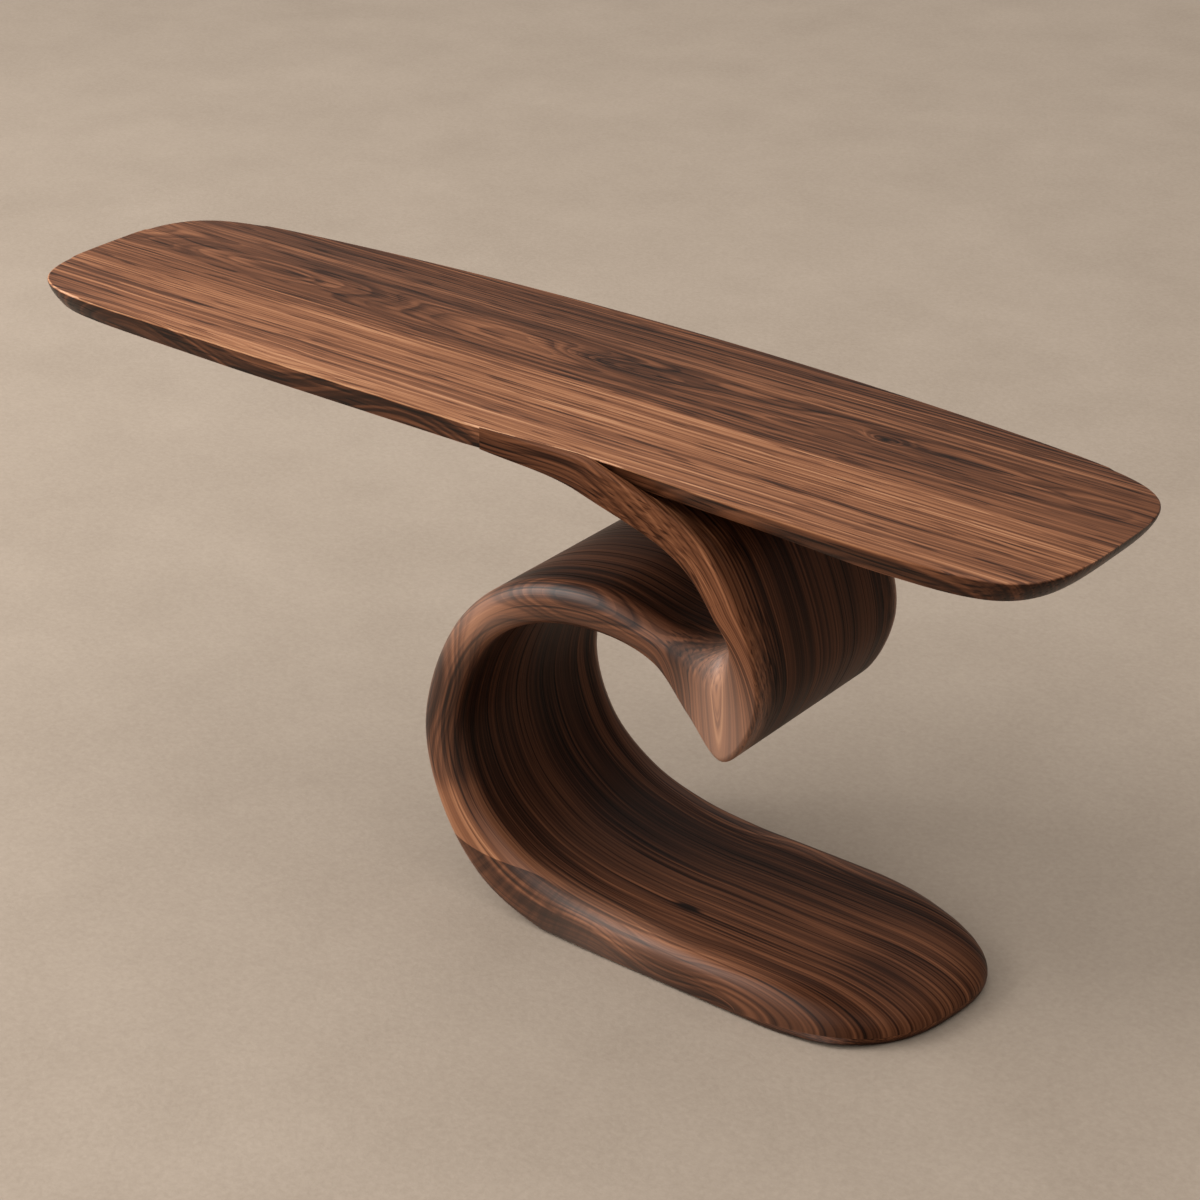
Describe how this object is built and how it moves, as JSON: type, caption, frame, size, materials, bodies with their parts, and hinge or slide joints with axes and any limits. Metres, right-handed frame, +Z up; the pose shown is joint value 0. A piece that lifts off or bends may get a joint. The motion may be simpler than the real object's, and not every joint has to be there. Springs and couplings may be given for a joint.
{
  "type": "console table",
  "caption": "Sculptural walnut console: a long thin top with rounded ends, carried at one side by a wide ribbon that folds under itself, loops back and rolls out into a flat foot.",
  "frame": {"origin": "floor level, under the middle of the top's bounding box", "axes": "+X along the top towards the end that the foot points to, +Y to the bowed back edge, +Z up"},
  "size_m": [1.7, 0.436, 0.76],
  "materials": {
    "walnut_top": "satin oiled walnut, grain along the length",
    "walnut_stave_dark": "satin oiled dark walnut, grain along the ribbon",
    "walnut_stave_light": "satin oiled walnut, grain along the ribbon",
    "beech": "plain beech, hidden",
    "bright_steel": "plain steel, hidden under the foot",
    "brown_felt": "pressed felt"
  },
  "bodies": {
    "root": {"board_front": "walnut_top", "board_middle_front": "walnut_top", "board_middle_back": "walnut_top", "board_back": "walnut_top", "spline_front": "beech", "spline_middle": "beech", "spline_back": "beech", "stave_1_neck": "walnut_stave_dark", "stave_1_fold": "walnut_stave_dark", "stave_1_arch": "walnut_stave_dark", "stave_1_back": "walnut_stave_dark", "stave_1_heel": "walnut_stave_dark", "stave_1_foot": "walnut_stave_dark", "stave_2_neck": "walnut_stave_light", "stave_2_fold": "walnut_stave_light", "stave_2_arch": "walnut_stave_light", "stave_2_back": "walnut_stave_light", "stave_2_heel": "walnut_stave_light", "stave_2_foot": "walnut_stave_light", "stave_3_neck": "walnut_stave_dark", "stave_3_fold": "walnut_stave_dark", "stave_3_arch": "walnut_stave_dark", "stave_3_back": "walnut_stave_dark", "stave_3_heel": "walnut_stave_dark", "stave_3_foot": "walnut_stave_dark", "stave_4_neck": "walnut_stave_light", "stave_4_fold": "walnut_stave_light", "stave_4_arch": "walnut_stave_light", "stave_4_back": "walnut_stave_light", "stave_4_heel": "walnut_stave_light", "stave_4_foot": "walnut_stave_light", "stave_5_neck": "walnut_stave_dark", "stave_5_fold": "walnut_stave_dark", "stave_5_arch": "walnut_stave_dark", "stave_5_back": "walnut_stave_dark", "stave_5_heel": "walnut_stave_dark", "stave_5_foot": "walnut_stave_dark", "cross_dowel_1": "beech", "cross_dowel_2": "beech", "cross_dowel_3": "beech", "cross_dowel_4": "beech", "cross_dowel_5": "beech", "cross_dowel_6": "beech", "cross_dowel_7": "beech", "cross_dowel_8": "beech", "root_dowel_1": "beech", "root_dowel_2": "beech", "root_dowel_3": "beech", "root_dowel_4": "beech", "root_dowel_5": "beech", "ballast_plate": "bright_steel", "ballast_screw_1": "bright_steel", "ballast_screw_2": "bright_steel", "ballast_screw_3": "bright_steel", "ballast_screw_4": "bright_steel", "glide_heel_front": "brown_felt", "glide_heel_back": "brown_felt", "glide_toe_front": "brown_felt", "glide_toe_back": "brown_felt"}
  },
  "joints": []
}
